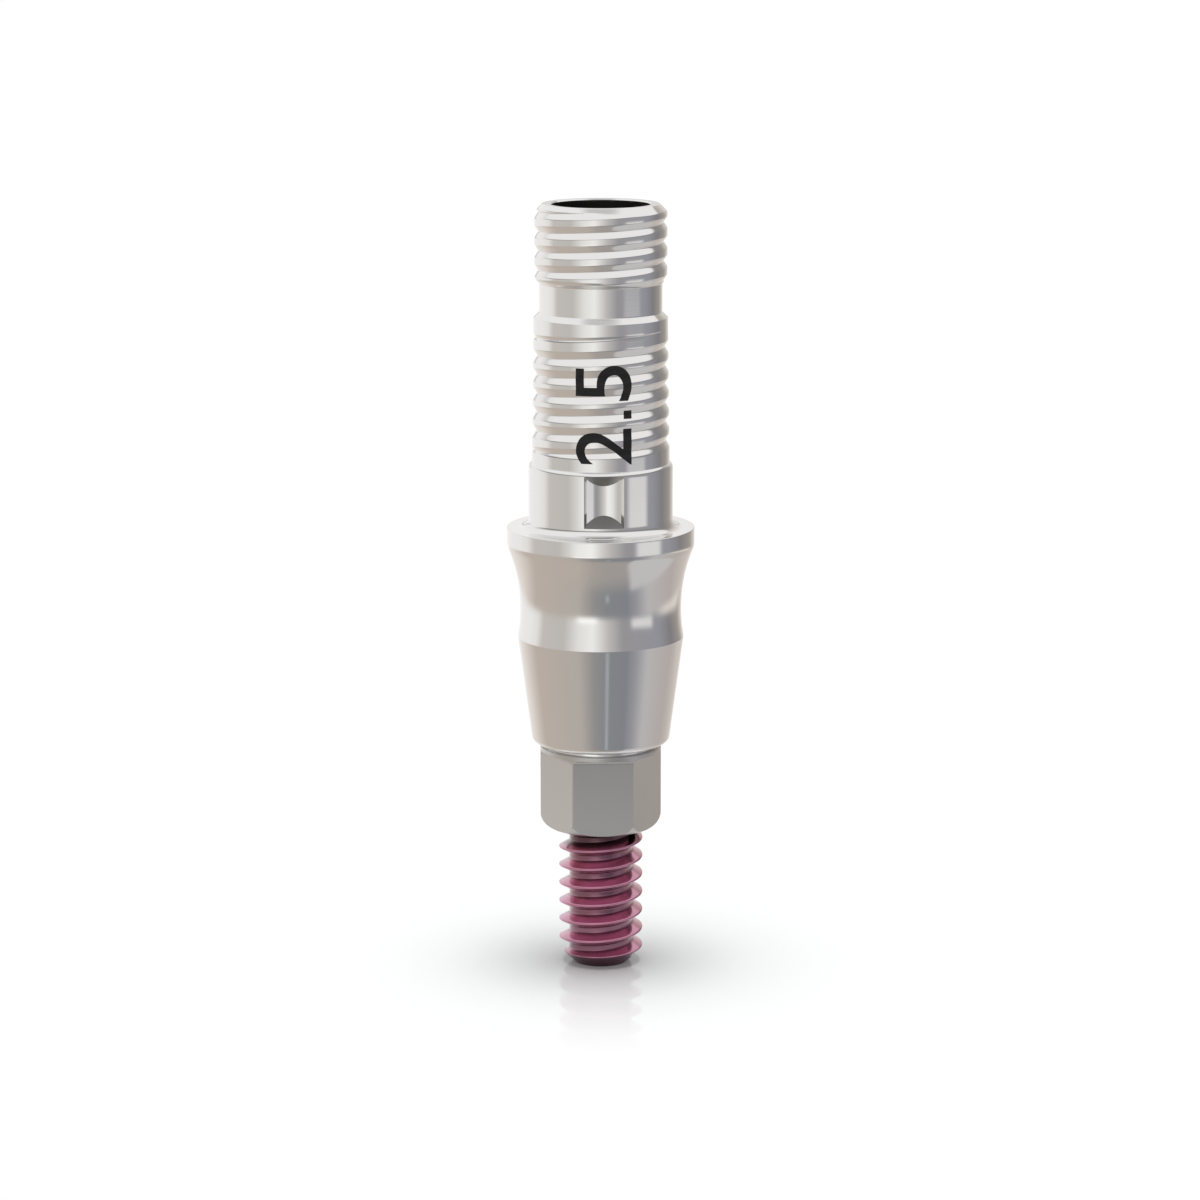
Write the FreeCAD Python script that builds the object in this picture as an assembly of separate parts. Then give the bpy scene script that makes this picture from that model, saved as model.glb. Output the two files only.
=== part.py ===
import FreeCAD, Part
import math
import os

from FreeCAD import Vector

# A dental abutment and the screw that holds it in an implant, in millimetres.
# The origin is on the axis, at the sharp edge where the sealing cone begins.
# +Z runs up the chimney. The milled slot and one flat of the hex face -Y.

# Sealing cone and its edge
cone_top_diameter = 3.92
cone_half_angle = 7.6
cone_length = 2.56
cone_corner_bevel = 0.107

# Relief and round collar between the cone and the hex
relief_width = 0.10
relief_depth = 0.09
hex_collar_width = 0.10

# Hex that keys the abutment in the implant
hex_across_flats = 2.50
hex_length = 1.87
hex_run_out_radius = 0.11
hex_nose_bevel = 0.20
hex_corner_relief = 0.008

# Gum collar, waisted, with a flange on top
collar_height = 2.62
waist_depth = 0.061
waist_height = 0.68
flange_overhang = 0.247
flange_blend_radius = 0.40
flange_edge_bevel = 0.02

# Ring that centres a crown, with its milled slot
ring_diameter = 3.39
ring_height = 1.54
ring_edge_bevel = 0.105
seat_fillet_radius = 0.23
slot_depth = 0.27
slot_floor_width = 0.73
slot_floor_hollow = 0.065
slot_side_angle = 40.0
slot_end_angle = 45.0
slot_top_drop = 0.08

# Sleeve with its helical retention grooves
sleeve_step = 0.075
sleeve_length = 3.54
sleeve_taper = 0.85
sleeve_top_chamfer = 0.13
groove_pitch = 0.44
groove_depth = 0.095
groove_angle = 120.0
groove_turns = 5
groove_start_above_ring = 0.54
groove_run_in_turns = 1.0
groove_run_out_turns = 0.75

# Plain neck and the threaded top
neck_diameter = 2.872
neck_length = 0.67
top_thread_diameter = 3.10
top_thread_length = 1.84
top_thread_pitch = 0.45
top_thread_depth = 0.09
top_thread_angle = 116.0
top_thread_phase = 0.075
top_thread_lead_in = 0.18
top_thread_back_chamfer = 0.11

# Screw channel
channel_diameter = 2.32
channel_edge_chamfer = 0.03
screw_seat_height = 1.20

# Screw
screw_thread_diameter = 2.00
screw_pitch = 0.445
screw_thread_depth = 0.25
screw_root_flat = 0.12
screw_thread_angle = 60.0
screw_reach = 3.35
screw_thread_hidden = 0.18
screw_thread_phase = 0.1625
screw_tip_diameter = 1.28
screw_shank_relief = 0.03
screw_head_height = 1.90
screw_head_chamfer = 0.08
socket_across_flats = 1.25
socket_depth = 1.30
socket_drill_cone = 0.30

# Clearances, measured on the radius
head_clearance = 0.03
thread_clearance = 0.02
cut_margin = 0.01

# Where the body's turned faces have their seam, and where the helices start, clear of any seam
seam_angle = -90.0
helix_start_angle = -20.0

# Radii and heights that follow from the sizes above
cone_top_radius = cone_top_diameter / 2
waist_radius = cone_top_radius - waist_depth
flange_radius = cone_top_radius + flange_overhang
hex_corner_radius = hex_across_flats / 2 / math.cos(math.radians(30))
hex_blank_radius = hex_corner_radius - hex_corner_relief
relief_radius = hex_blank_radius - relief_depth
ring_radius = ring_diameter / 2
sleeve_base_radius = ring_radius - sleeve_step
neck_radius = neck_diameter / 2
top_thread_radius = top_thread_diameter / 2
top_thread_root_radius = top_thread_radius - top_thread_depth
channel_radius = channel_diameter / 2
screw_thread_radius = screw_thread_diameter / 2
screw_root_radius = screw_thread_radius - screw_thread_depth
shank_radius = screw_root_radius - screw_shank_relief
head_radius = channel_radius - head_clearance
through_radius = screw_thread_radius + thread_clearance

cone_end = -cone_length
relief_end = cone_end - relief_width
flats_top = relief_end - hex_collar_width
hex_end = flats_top - hex_length
ring_top = collar_height + ring_height
sleeve_top = ring_top + sleeve_length
neck_top = sleeve_top + neck_length
body_top = neck_top + top_thread_length
screw_end = hex_end - screw_reach
thread_top = hex_end + screw_thread_hidden
head_top = screw_seat_height + screw_head_height


def point(radius, height):
    return Vector(radius, 0, height)


def line(start, end):
    return Part.makeLine(point(*start), point(*end))


def plain_arc(start, through, end):
    return Part.Arc(point(*start), point(*through), point(*end))


def arc(start, through, end):
    """Exact circular arc; in spline form its turned face meshes with fewer facets."""
    return plain_arc(start, through, end).toBSpline().toShape()


def turned(edges):
    """Solid of revolution about Z from a closed outline in the XZ plane."""
    face = Part.Face(Part.Wire(Part.__sortEdges__(edges)))
    return face.revolve(Vector(0, 0, 0), Vector(0, 0, 1), 360)


def polar(centre, radius, degrees):
    angle = math.radians(degrees)
    return (centre[0] + radius * math.cos(angle), centre[1] + radius * math.sin(angle))


def sleeve_radius_at(height):
    return sleeve_base_radius - (height - ring_top) * math.tan(math.radians(sleeve_taper))


def collar_outline():
    """Concave gum collar from the cone's edge up to the flange's rim, and the rim."""
    # The arc passes through the cone's edge and is upright at the waist
    arc_radius = (waist_depth ** 2 + waist_height ** 2) / (2 * waist_depth)
    centre = (waist_radius + arc_radius, waist_height)
    # The blend touches the rim from inside and the arc from outside
    blend_r = flange_radius - flange_blend_radius
    reach = arc_radius + flange_blend_radius
    blend_z = centre[1] + math.sqrt(reach ** 2 - (centre[0] - blend_r) ** 2)
    share = arc_radius / reach
    touch = (
        centre[0] + (blend_r - centre[0]) * share,
        centre[1] + (blend_z - centre[1]) * share,
    )
    half_turn = math.degrees(math.atan2(touch[1] - blend_z, touch[0] - blend_r)) / 2
    blend_middle = polar((blend_r, blend_z), flange_blend_radius, half_turn)
    rim_top = (flange_radius, collar_height - flange_edge_bevel)
    rim_edge = (flange_radius - flange_edge_bevel, collar_height)
    return [
        arc((cone_top_radius, 0), (waist_radius, waist_height), touch),
        arc(touch, blend_middle, (flange_radius, blend_z)),
        line((flange_radius, blend_z), rim_top),
        line(rim_top, rim_edge),
    ]


def cone_outline():
    """Sealing cone down to its bevelled lower corner, and the relief below it."""
    slope = math.tan(math.radians(cone_half_angle))
    corner_z = cone_end + cone_corner_bevel
    side_end = (cone_top_radius + corner_z * slope, corner_z)
    flat_end = (cone_top_radius + cone_end * slope - cone_corner_bevel, cone_end)
    return [
        line((cone_top_radius, 0), side_end),
        line(side_end, flat_end),
        line(flat_end, (relief_radius, cone_end)),
        line((relief_radius, cone_end), (relief_radius, relief_end)),
        line((relief_radius, relief_end), (hex_blank_radius, relief_end)),
    ]


def nose_outline():
    """Round blank of the hex with its bevelled nose, down to the screw's hole."""
    side_end = (hex_blank_radius, hex_end + hex_nose_bevel)
    nose_end = (hex_blank_radius - hex_nose_bevel, hex_end)
    return [
        line((hex_blank_radius, relief_end), side_end),
        line(side_end, nose_end),
        line(nose_end, (through_radius, hex_end)),
    ]


def ring_outline():
    """Fillet on the flange, the crown's ring and its bevelled upper edge."""
    fillet = (ring_radius + seat_fillet_radius, collar_height + seat_fillet_radius)
    edge_z = ring_top - ring_edge_bevel
    return [
        line((flange_radius - flange_edge_bevel, collar_height), (fillet[0], collar_height)),
        arc((fillet[0], collar_height), polar(fillet, seat_fillet_radius, -135), (ring_radius, fillet[1])),
        line((ring_radius, fillet[1]), (ring_radius, edge_z)),
        line((ring_radius, edge_z), (sleeve_base_radius, ring_top)),
    ]


def chimney_outline():
    """Tapered sleeve, plain neck and the blank of the top thread, to the rim."""
    chamfer_z = sleeve_top - sleeve_top_chamfer
    chamfer_r = sleeve_radius_at(chamfer_z)
    back_z = neck_top + top_thread_back_chamfer
    lead_z = body_top - top_thread_lead_in
    lead_r = top_thread_radius - top_thread_lead_in
    mouth_r = channel_radius + channel_edge_chamfer
    corners = [
        (sleeve_base_radius, ring_top),
        (chamfer_r, chamfer_z),
        (neck_radius, sleeve_top),
        (neck_radius, neck_top),
        (top_thread_radius, back_z),
        (top_thread_radius, lead_z),
        (lead_r, body_top),
        (mouth_r, body_top),
        (channel_radius, body_top - channel_edge_chamfer),
        (channel_radius, screw_seat_height),
        (through_radius, screw_seat_height),
        (through_radius, hex_end),
    ]
    return [line(corners[i], corners[i + 1]) for i in range(len(corners) - 1)]


def helical_cutter(profile, radius, pitch, start, turns, widening=0.0, downward=False):
    """Sweep a wire that lies at this radius on +X along a right-handed helix."""
    height = pitch * turns
    if widening:
        helix = Part.makeHelix(pitch, height, radius, math.degrees(math.atan(widening / height)))
    else:
        helix = Part.makeLongHelix(pitch, height, radius, 0)
    cutter = Part.Wire(helix).makePipeShell([profile], True, True)
    if downward:
        cutter.rotate(Vector(0, 0, 0), Vector(1, 0, 0), 180)
    # Turned with its rise, so the groove stays where it was
    cutter.rotate(Vector(0, 0, 0), Vector(0, 0, 1), helix_start_angle)
    cutter.translate(Vector(0, 0, start + pitch * helix_start_angle / 360))
    return cutter


def groove_profile(root_radius, crest_radius, angle, root_flat=0.0):
    """Section of a helical groove on +X, open past the crests: a V, or one with a flat root."""
    flare = math.tan(math.radians(angle / 2))
    outer_r = crest_radius + cut_margin
    outer_half = root_flat / 2 + (outer_r - root_radius) * flare
    corners = [point(outer_r, -outer_half), point(outer_r, outer_half), point(root_radius, root_flat / 2)]
    if root_flat:
        corners.append(point(root_radius, -root_flat / 2))
    return Part.makePolygon(corners + corners[:1])


def top_thread_cutter():
    """Groove of the top thread, run past both ends of its blank."""
    profile = groove_profile(top_thread_root_radius, top_thread_radius, top_thread_angle)
    turns = math.ceil(top_thread_length / top_thread_pitch) + 2
    start = neck_top - top_thread_pitch + top_thread_phase
    return helical_cutter(profile, top_thread_root_radius, top_thread_pitch, start, turns)


def groove_cutters():
    """Retention groove: full depth down the taper, with a run-in above and a run-out below."""
    low_z = ring_top + groove_start_above_ring
    high_z = low_z + groove_turns * groove_pitch
    low_r = sleeve_radius_at(low_z)
    high_r = sleeve_radius_at(high_z)
    low_root = low_r - groove_depth
    high_root = high_r - groove_depth
    lift = groove_depth + cut_margin
    low_profile = groove_profile(low_root, low_r, groove_angle)
    high_profile = groove_profile(high_root, high_r, groove_angle)
    return [
        helical_cutter(high_profile, high_root, groove_pitch, high_z, groove_turns, low_r - high_r, True),
        helical_cutter(high_profile, high_root, groove_pitch, high_z, groove_run_in_turns, lift),
        helical_cutter(low_profile, low_root, groove_pitch, low_z, groove_run_out_turns, lift, True),
    ]


def flat_cutters():
    """Six cutters that mill the hex's flats and leave a small radius at their top."""
    flat_r = hex_across_flats / 2
    outer_r = cone_top_radius
    low_z = hex_end - hex_nose_bevel
    centre = (flat_r + hex_run_out_radius, flats_top - hex_run_out_radius)
    edges = [
        line((flat_r, low_z), (flat_r, centre[1])),
        plain_arc((flat_r, centre[1]), polar(centre, hex_run_out_radius, 135), (centre[0], flats_top)).toShape(),
        line((centre[0], flats_top), (outer_r, flats_top)),
        line((outer_r, flats_top), (outer_r, low_z)),
        line((outer_r, low_z), (flat_r, low_z)),
    ]
    face = Part.Face(Part.Wire(edges))
    face.translate(Vector(0, -hex_across_flats, 0))
    block = face.extrude(Vector(0, 2 * hex_across_flats, 0))
    cutters = []
    for index in range(6):
        cutter = block.copy()
        cutter.rotate(Vector(0, 0, 0), Vector(0, 0, 1), -90 + 60 * index)
        cutters.append(cutter)
    return cutters


def slot_section():
    """Level section of the slot: a hollow floor and two sides that open outwards."""
    half = slot_floor_width / 2
    outer_y = -(ring_radius + slot_depth)
    floor_y = -(ring_radius - slot_depth)
    edge_y = floor_y - slot_floor_hollow
    outer_half = half + (edge_y - outer_y) * math.tan(math.radians(slot_side_angle))
    floor = Part.Arc(Vector(-half, edge_y, 0), Vector(0, floor_y, 0), Vector(half, edge_y, 0))
    right_side = Part.makeLine(Vector(half, edge_y, 0), Vector(outer_half, outer_y, 0))
    front = Part.makeLine(Vector(outer_half, outer_y, 0), Vector(-outer_half, outer_y, 0))
    left_side = Part.makeLine(Vector(-outer_half, outer_y, 0), Vector(-half, edge_y, 0))
    return Part.Face(Part.Wire([floor.toShape(), right_side, front, left_side]))


def slot_cutter():
    """Slot in the ring, ended above and below by cones about the ring's own axis."""
    low_z = collar_height + seat_fillet_radius
    top_z = ring_top - slot_top_drop
    inward = slot_depth + cut_margin
    slope = math.tan(math.radians(slot_end_angle))
    inner_r = ring_radius - inward
    outer_r = ring_radius + inward
    corners = [
        (inner_r, low_z + inward * slope),
        (outer_r, low_z - inward * slope),
        (outer_r, top_z + inward * slope),
        (inner_r, top_z - inward * slope),
        (inner_r, low_z + inward * slope),
    ]
    band = turned([line(corners[i], corners[i + 1]) for i in range(4)])
    section = slot_section()
    section.translate(Vector(0, 0, low_z - slot_depth))
    return section.extrude(Vector(0, 0, top_z - low_z + 2 * slot_depth)).common(band)


def abutment_body():
    outline = cone_outline() + nose_outline() + collar_outline() + ring_outline() + chimney_outline()
    body = turned(outline)
    # With their seam in the slot, no turned face has a hole in it
    body.rotate(Vector(0, 0, 0), Vector(0, 0, 1), seam_angle)
    body = body.cut(flat_cutters())
    body = body.cut(slot_cutter())
    for cutter in groove_cutters():
        body = body.cut(cutter)
    return body.cut(top_thread_cutter())


def screw_blank():
    """Turned screw: chamfered tip, thread blank, slim shank and cylindrical head."""
    tip_r = screw_tip_diameter / 2
    corners = [
        (0, screw_end),
        (tip_r, screw_end),
        (screw_thread_radius, screw_end + screw_thread_radius - tip_r),
        (screw_thread_radius, thread_top),
        (shank_radius, thread_top + screw_thread_radius - shank_radius),
        (shank_radius, screw_seat_height),
        (head_radius, screw_seat_height),
        (head_radius, head_top - screw_head_chamfer),
        (head_radius - screw_head_chamfer, head_top),
        (0, head_top),
        (0, screw_end),
    ]
    return turned([line(corners[i], corners[i + 1]) for i in range(len(corners) - 1)])


def screw_thread_cutter():
    """Groove of the screw's thread, run past both ends of its blank."""
    profile = groove_profile(screw_root_radius, screw_thread_radius, screw_thread_angle, screw_root_flat)
    turns = math.ceil((thread_top - screw_end) / screw_pitch) + 2
    start = screw_end - screw_pitch + screw_thread_phase
    return helical_cutter(profile, screw_root_radius, screw_pitch, start, turns)


def driver_socket():
    """Hexagonal socket in the head, with the drill's cone at its bottom."""
    corner_r = socket_across_flats / 2 / math.cos(math.radians(30))
    floor_z = head_top - socket_depth
    points = [Vector(*polar((0, 0), corner_r, 60 * i), floor_z) for i in range(7)]
    prism = Part.Face(Part.makePolygon(points)).extrude(Vector(0, 0, socket_depth))
    drill = Part.makeCone(0, socket_across_flats / 2, socket_drill_cone, Vector(0, 0, floor_z - socket_drill_cone))
    return prism.fuse(drill)


def abutment_screw():
    screw = screw_blank().cut(screw_thread_cutter())
    return screw.cut(driver_socket())


def main():
    os.makedirs("parts", exist_ok=True)
    nodes = {
        "abutment_body": abutment_body(),
        "abutment_screw": abutment_screw(),
    }
    for name, shape in nodes.items():
        solids = shape.Solids
        print(name, "solids", len(solids), "valid", shape.isValid(), "mm3", round(shape.Volume, 3))
        Part.makeCompound(solids).exportStep("parts/" + name + ".step")


main()
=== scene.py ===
import math

import bmesh
import bpy
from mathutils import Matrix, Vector


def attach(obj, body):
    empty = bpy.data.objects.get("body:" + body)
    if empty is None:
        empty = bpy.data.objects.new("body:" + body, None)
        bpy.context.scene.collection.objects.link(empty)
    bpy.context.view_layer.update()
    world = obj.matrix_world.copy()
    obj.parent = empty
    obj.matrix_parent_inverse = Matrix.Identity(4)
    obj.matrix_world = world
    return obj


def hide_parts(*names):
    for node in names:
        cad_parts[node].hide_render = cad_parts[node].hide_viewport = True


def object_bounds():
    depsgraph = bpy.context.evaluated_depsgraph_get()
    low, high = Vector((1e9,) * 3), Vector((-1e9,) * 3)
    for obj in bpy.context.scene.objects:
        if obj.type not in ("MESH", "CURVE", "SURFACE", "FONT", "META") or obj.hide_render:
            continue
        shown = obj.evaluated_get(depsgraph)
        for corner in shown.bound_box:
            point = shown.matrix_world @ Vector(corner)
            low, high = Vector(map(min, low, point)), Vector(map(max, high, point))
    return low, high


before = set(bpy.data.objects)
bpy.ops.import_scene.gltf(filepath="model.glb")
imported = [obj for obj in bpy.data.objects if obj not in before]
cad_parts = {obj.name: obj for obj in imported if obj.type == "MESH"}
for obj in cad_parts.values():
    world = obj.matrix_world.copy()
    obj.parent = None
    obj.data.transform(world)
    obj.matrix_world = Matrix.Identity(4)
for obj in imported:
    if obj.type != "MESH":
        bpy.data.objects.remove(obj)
cad_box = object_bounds()

bl_info = {
    "name": "Dental Abutment",
    "version": (1, 0, 0),
    "blender": (4, 5, 0),
    "location": "3D View > Sidebar > Abutment",
    "description": "Finishes a dental abutment: turned body, anodised screw, size mark and studio",
    "category": "Object",
}

MM = 0.001
TURN = 2 * math.pi

# Merging distance on meshes this small
WELD = 2e-7


def length(name, description, millimetres):
    return bpy.props.FloatProperty(
        name=name, description=description, default=millimetres * MM, min=0.0, precision=6, unit="LENGTH"
    )


def colour(name, description, default):
    return bpy.props.FloatVectorProperty(
        name=name, description=description, default=default, size=3, min=0.0, max=1.0, subtype="COLOR"
    )


def share(name, description, default):
    return bpy.props.FloatProperty(
        name=name, description=description, default=default, min=0.0, max=1.0, subtype="FACTOR"
    )


class AbutmentBodySizes(bpy.types.PropertyGroup):
    """Sizes of the turned body, from the hex up to the rim."""

    cone_top_diameter: length("Cone diameter", "Diameter of the sealing cone at its sharp top edge", 3.92)
    cone_half_angle: bpy.props.FloatProperty(
        name="Cone angle", description="Angle between the cone's side and the axis",
        default=math.radians(7.6), subtype="ANGLE",
    )
    cone_length: length("Cone length", "Height of the sealing cone", 2.56)
    cone_corner: length("Cone corner", "Radius on the cone's lower edge", 0.16)
    relief_width: length("Relief width", "Height of the recess under the cone", 0.10)
    hex_across_flats: length("Hex across flats", "Distance between two opposite flats", 2.50)
    hex_collar: length("Hex collar", "Height of the round collar above the flats", 0.10)
    hex_length: length("Hex length", "Height of the flats with the rounded nose", 1.87)
    hex_run_out: length("Flat run-out", "Radius that the milling cutter leaves above each flat", 0.11)
    hex_nose: length("Nose radius", "Radius on the hex's lower end", 0.30)
    waist_depth: length("Waist depth", "How far the collar draws in above the cone", 0.061)
    waist_height: length("Waist height", "Height of the collar's narrowest place", 0.68)
    collar_height: length("Collar height", "Height of the gum collar with its flange", 2.62)
    flange_overhang: length("Flange overhang", "How far the flange stands out from the cone's edge", 0.247)
    flange_blend: length("Flange blend", "Radius between the waisted collar and the flange's rim", 0.40)
    ring_diameter: length("Ring diameter", "Diameter of the ring that centres a crown", 3.39)
    ring_height: length("Ring height", "Height of the ring above the flange", 1.54)
    ring_edge: length("Ring edge", "Radius on the ring's upper edge", 0.13)
    seat_fillet: length("Seat fillet", "Radius between the ring and the flange", 0.23)
    slot_depth: length("Slot depth", "Depth of the milled slot at its middle", 0.27)
    slot_floor_width: length("Slot floor width", "Width of the slot's floor", 0.80)
    slot_floor_hollow: length("Slot floor hollow", "How far the floor's middle lies under its edges", 0.13)
    slot_side_angle: bpy.props.FloatProperty(
        name="Slot side angle", description="Angle between a side of the slot and the radius through its floor",
        default=math.radians(40), subtype="ANGLE",
    )
    slot_end_angle: bpy.props.FloatProperty(
        name="Slot end angle", description="Angle between the slot's ends and the axis",
        default=math.radians(45), subtype="ANGLE",
    )
    slot_drop: length("Slot drop", "Distance from the ring's top down to the slot", 0.08)
    sleeve_step: length("Sleeve step", "Step in radius from the ring to the sleeve", 0.075)
    sleeve_length: length("Sleeve length", "Height of the grooved sleeve", 3.54)
    sleeve_taper: bpy.props.FloatProperty(
        name="Sleeve taper", description="Angle between the sleeve's side and the axis",
        default=math.radians(0.85), subtype="ANGLE",
    )
    sleeve_chamfer: length("Sleeve chamfer", "Height of the chamfer at the sleeve's top", 0.13)
    groove_pitch: length("Groove pitch", "Rise of the retention groove in one turn", 0.44)
    groove_depth: length("Groove depth", "Depth of the retention groove", 0.095)
    groove_angle: bpy.props.FloatProperty(
        name="Groove angle", description="Angle between the two sides of the retention groove",
        default=math.radians(120), subtype="ANGLE",
    )
    groove_start: length("Groove start", "Height of the first full turn above the ring", 0.54)
    neck_diameter: length("Neck diameter", "Diameter of the plain neck", 2.872)
    neck_length: length("Neck length", "Height of the plain neck", 0.67)
    thread_diameter: length("Top thread diameter", "Diameter over the top thread's crests", 3.10)
    thread_length: length("Top thread length", "Height of the threaded top", 1.84)
    thread_pitch: length("Top thread pitch", "Rise of the top thread in one turn", 0.45)
    thread_depth: length("Top thread depth", "Depth of the top thread", 0.09)
    thread_angle: bpy.props.FloatProperty(
        name="Top thread angle", description="Angle between the two sides of the top thread's groove",
        default=math.radians(116), subtype="ANGLE",
    )
    thread_phase: length("Top thread phase", "Height of the first groove above the neck, on the +X side", 0.075)
    thread_lead_in: length("Lead-in", "Chamfer at the top thread's upper end", 0.18)
    thread_back: length("Back chamfer", "Chamfer at the top thread's lower end", 0.11)
    channel_diameter: length("Channel diameter", "Diameter of the screw channel", 2.32)
    screw_seat: length("Screw seat", "Height of the face that the screw's head rests on", 1.20)
    screw_hole: length("Screw hole", "Diameter of the hole under the screw's seat", 2.04)


class AbutmentScrewSizes(bpy.types.PropertyGroup):
    """Sizes of the retaining screw."""

    thread_diameter: length("Thread diameter", "Diameter over the thread's crests", 2.00)
    thread_pitch: length("Thread pitch", "Rise of the thread in one turn", 0.445)
    thread_depth: length("Thread depth", "Depth of the thread", 0.25)
    thread_root: length("Root flat", "Width of the flat between two turns", 0.12)
    thread_angle: bpy.props.FloatProperty(
        name="Thread angle", description="Angle between the thread's two flanks",
        default=math.radians(60), subtype="ANGLE",
    )
    thread_phase: length("Thread phase", "Height of the first groove, less one turn, on the +X side", 0.1625)
    tip_diameter: length("Tip diameter", "Diameter of the flat tip", 1.28)
    reach: length("Reach", "Length of screw under the hex", 3.35)
    hidden: length("Hidden thread", "Length of thread inside the hex", 0.18)
    shank_diameter: length("Shank diameter", "Diameter of the slim shank", 1.44)
    head_diameter: length("Head diameter", "Diameter of the head", 2.26)
    head_height: length("Head height", "Height of the head", 1.90)
    head_chamfer: length("Head chamfer", "Chamfer on the head's upper edge", 0.08)
    socket_across_flats: length("Socket across flats", "Width of the driver socket", 1.25)
    socket_depth: length("Socket depth", "Depth of the driver socket", 1.30)
    socket_cone: length("Drill cone", "Depth of the drilled cone under the socket", 0.30)


class AbutmentFinish(bpy.types.PropertyGroup):
    """Colours and polish."""

    titanium: colour("Titanium", "Colour of the polished turned faces", (0.79, 0.78, 0.77))
    titanium_polish: share("Body roughness", "Roughness of the turned faces", 0.11)
    flats: colour("Milled titanium", "Colour of the milled flats", (0.56, 0.55, 0.535))
    flats_polish: share("Flat roughness", "Roughness of the milled flats", 0.32)
    # The slot end's dark colour is painted shade and painted dark reflection; its coarser milling is in the roughness
    slot_end_painted_shade: colour("Slot end", "Painted shade on the coarser milled lower end of the slot", (0.22, 0.215, 0.21))
    # Painted shade: the channel and the hole under it are near-black for the shade inside them, not for the metal's
    # colour
    bored: colour("Bore, painted shade", "Colour of the bored channel", (0.035, 0.034, 0.033))
    rose: colour("Rose", "Colour of the anodised screw", (0.53, 0.22, 0.325))
    rose_polish: share("Screw roughness", "Roughness of the screw", 0.17)
    mark: colour("Mark", "Colour of the size mark", (0.010, 0.010, 0.011))


class AbutmentMark(bpy.types.PropertyGroup):
    """The size mark on the sleeve."""

    text: bpy.props.StringProperty(
        name="Text", description="Collar height in millimetres, marked on the sleeve", default="2.5"
    )
    bottom: length("Mark bottom", "Height of the mark's first digit above the collar's lower edge", 4.33)
    digit: length("Digit width", "Width of each digit, along the axis", 0.823)
    point: length("Point width", "Width and height of the square decimal point", 0.18)
    gap: length("Gap", "Space between two characters", 0.24)
    height: length("Digit height", "Height of the digits, across the sleeve", 1.285)
    boldness: bpy.props.FloatProperty(
        name="Boldness", description="How far the strokes are thickened, as a share of the text's size", default=0.006
    )


# Outlines


def arc_points(centre, radius, start, end, step=8.0):
    """Points on an arc in the outline's plane, from one angle to the other, in degrees."""
    count = max(2, math.ceil(abs(end - start) / step))
    points = []
    for i in range(count + 1):
        angle = math.radians(start + (end - start) * i / count)
        points.append((centre[0] + radius * math.cos(angle), centre[1] + radius * math.sin(angle)))
    return points


def softened(corners, step=12.0):
    """Round each corner (radius, height, rounding) of an outline, and hold straight runs at their ends."""
    places = [Vector(corner[:2]) for corner in corners]
    points = []
    for i, corner in enumerate(corners):
        rounding = corner[2]
        if rounding == 0 or i in (0, len(corners) - 1):
            points.append(places[i])
            continue
        back = (places[i - 1] - places[i]).normalized()
        ahead = (places[i + 1] - places[i]).normalized()
        half = back.angle(ahead) / 2
        reach = rounding / math.tan(half)
        reach = min(reach, 0.45 * (places[i - 1] - places[i]).length, 0.45 * (places[i + 1] - places[i]).length)
        radius = reach * math.tan(half)
        centre = places[i] + (back + ahead).normalized() * radius / math.sin(half)
        first = places[i] + back * reach - centre
        turn = first.angle_signed(places[i] + ahead * reach - centre)
        count = max(2, math.ceil(abs(math.degrees(turn)) / step))
        for k in range(count + 1):
            angle = -turn * k / count
            rotated = Vector((
                first.x * math.cos(angle) - first.y * math.sin(angle),
                first.x * math.sin(angle) + first.y * math.cos(angle),
            ))
            points.append(centre + rotated)
    held = [points[0]]
    for before, after in zip(points, points[1:]):
        run = after - before
        if run.length > 0.12 * MM:
            held.append(before + run.normalized() * 0.03 * MM)
            held.append(after - run.normalized() * 0.03 * MM)
        if run.length > WELD:
            held.append(after)
    return [(place.x, place.y) for place in held]


class HelicalZone:
    """A stretch of an outline that carries a helical groove, and the groove's form."""

    def __init__(self, low, high, pitch, root, depth, angle, flat, base, fade, edge):
        self.low = low
        self.high = high
        self.pitch = pitch
        self.root = root
        self.depth = depth
        self.slope = 1 / math.tan(angle / 2)
        self.flat = flat / 2
        self.base = base
        self.fade = fade
        self.edge = edge

    def cut(self, distance, depth):
        """Depth of the groove at this distance from its middle, with its edges softened."""
        if depth <= 0:
            return 0.0
        soft = self.edge
        raw = depth + self.flat * self.slope - abs(distance) * self.slope
        if raw > depth - soft:
            over = min(raw, depth + soft) - (depth - soft)
            raw = depth - soft + over - over * over / (4 * soft)
        if raw < -soft:
            return 0.0
        if raw < soft:
            raw = (raw + soft) ** 2 / (4 * soft)
        return min(raw, depth)

    def radius(self, height, angle):
        turns = (height - self.root) / self.pitch - angle / TURN
        nearest = round(turns)
        depth = self.depth * self.fade(nearest + angle / TURN)
        return self.base(height, self.cut((turns - nearest) * self.pitch, depth))

    def rows(self, offsets):
        """Heights on the +X side of the rows that follow the helix, one turn more than the zone."""
        first = math.floor((self.low - self.root) / self.pitch) - 1
        last = math.ceil((self.high - self.root) / self.pitch)
        heights = [self.root + turn * self.pitch + offset for turn in range(first, last + 1) for offset in offsets]
        return [z for z in heights if self.low - self.pitch - WELD < z < self.high + WELD]


def mirrored(offsets, pitch):
    """Row offsets on both sides of a groove's middle, with one row halfway between two turns."""
    return sorted([-offset for offset in offsets if offset > 0] + list(offsets) + [pitch / 2])


def soft_min(a, b, width):
    """The smaller of two radii, with a small round where they cross."""
    gap = max(width - abs(a - b), 0.0) / width
    return min(a, b) - gap * gap * width / 4


# Meshes made with the modelling operators


def leave_edit():
    if bpy.context.object and bpy.context.object.mode != "OBJECT":
        bpy.ops.object.mode_set(mode="OBJECT")
    bpy.ops.object.select_all(action="DESELECT")


def only(piece):
    leave_edit()
    bpy.context.view_layer.objects.active = piece
    piece.select_set(True)


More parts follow.
